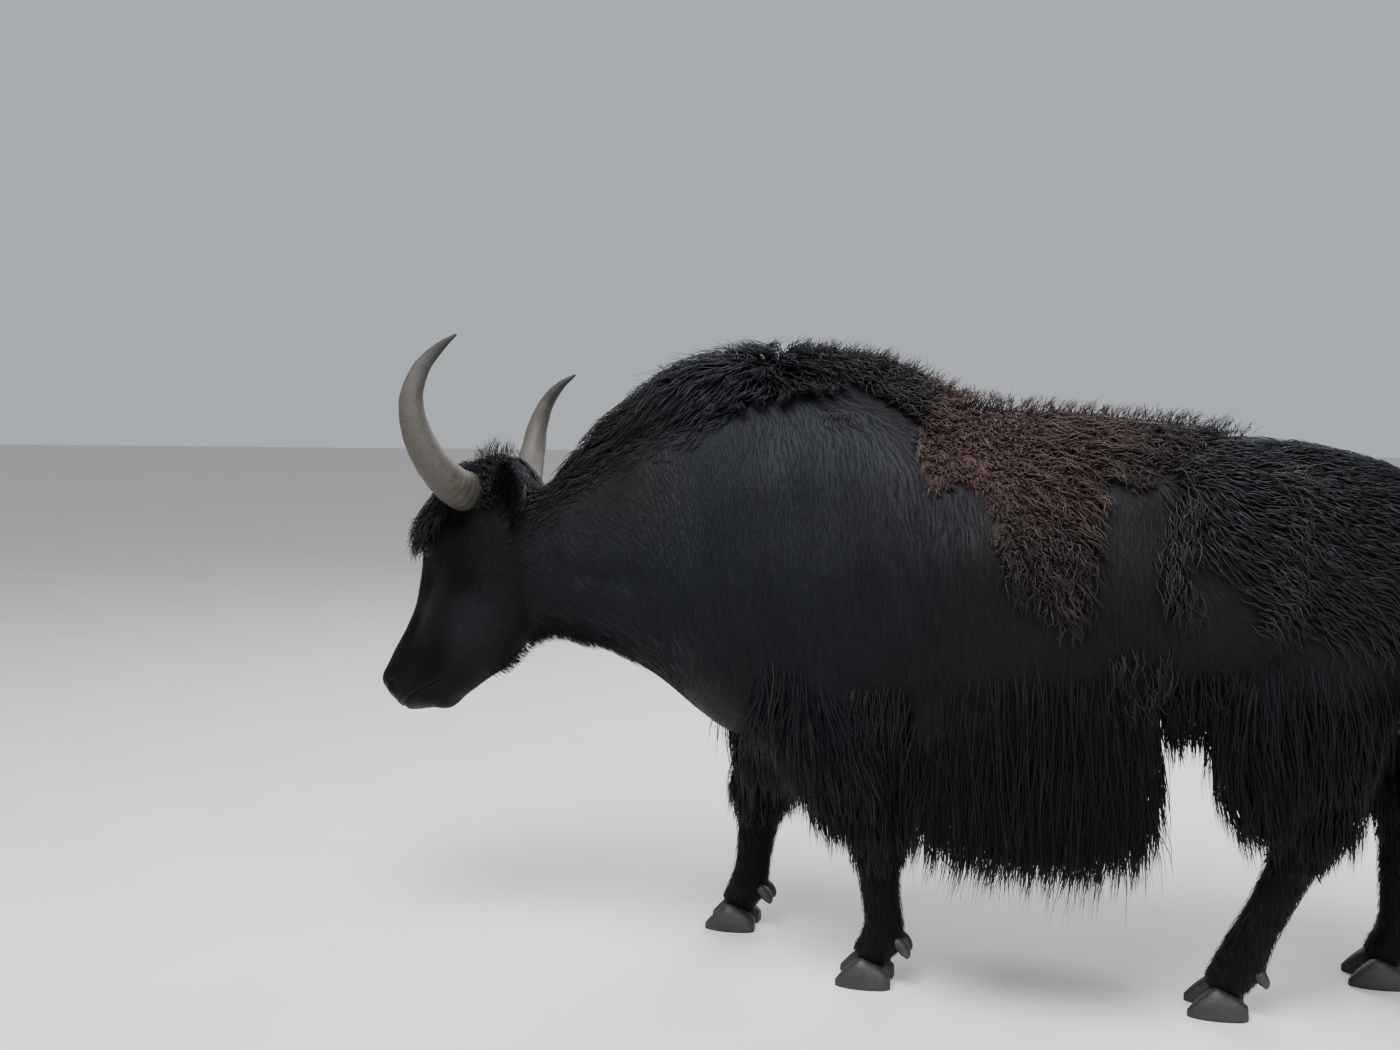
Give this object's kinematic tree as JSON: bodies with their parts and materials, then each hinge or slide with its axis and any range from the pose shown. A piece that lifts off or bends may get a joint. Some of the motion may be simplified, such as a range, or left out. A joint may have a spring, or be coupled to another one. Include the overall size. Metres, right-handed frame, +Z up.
{
  "type": "yak model",
  "caption": "Still, life-size model of a long-haired yak bull in summer moult, standing in mid-stride with its head turned a little aside.",
  "frame": {"origin": "on the floor under the middle of the bounding box, at the height of the soles", "axes": "+Z up, the animal faces -X, its left side is -Y"},
  "size_m": [2.6631, 0.7093, 1.4728],
  "materials": {
    "coat": "long black hair, bluish sheen, brown wool on the back",
    "horn": "grey-tan keratin with dark tips",
    "hoof": "dark hoof horn",
    "eye": "wet dark eyeball"
  },
  "bodies": {
    "root": {"head": "coat", "eye_left": "eye", "horn_left": "horn", "ear_left": "coat", "skirt_left": "coat", "eye_right": "eye", "horn_right": "horn", "ear_right": "coat", "skirt_right": "coat", "neck": "coat", "shoulders": "coat", "barrel": "coat", "hindquarters": "coat", "tail_root": "coat", "tail_switch": "coat", "claw_front_left_outer": "hoof", "dewclaw_front_left_outer": "hoof", "claw_front_left_inner": "hoof", "dewclaw_front_left_inner": "hoof", "leg_front_left_lower": "coat", "leg_front_left_upper": "coat", "claw_front_right_outer": "hoof", "dewclaw_front_right_outer": "hoof", "claw_front_right_inner": "hoof", "dewclaw_front_right_inner": "hoof", "leg_front_right_lower": "coat", "leg_front_right_upper": "coat", "claw_hind_left_outer": "hoof", "dewclaw_hind_left_outer": "hoof", "claw_hind_left_inner": "hoof", "dewclaw_hind_left_inner": "hoof", "leg_hind_left_lower": "coat", "leg_hind_left_upper": "coat", "claw_hind_right_outer": "hoof", "dewclaw_hind_right_outer": "hoof", "claw_hind_right_inner": "hoof", "dewclaw_hind_right_inner": "hoof", "leg_hind_right_lower": "coat", "leg_hind_right_upper": "coat"}
  },
  "joints": []
}
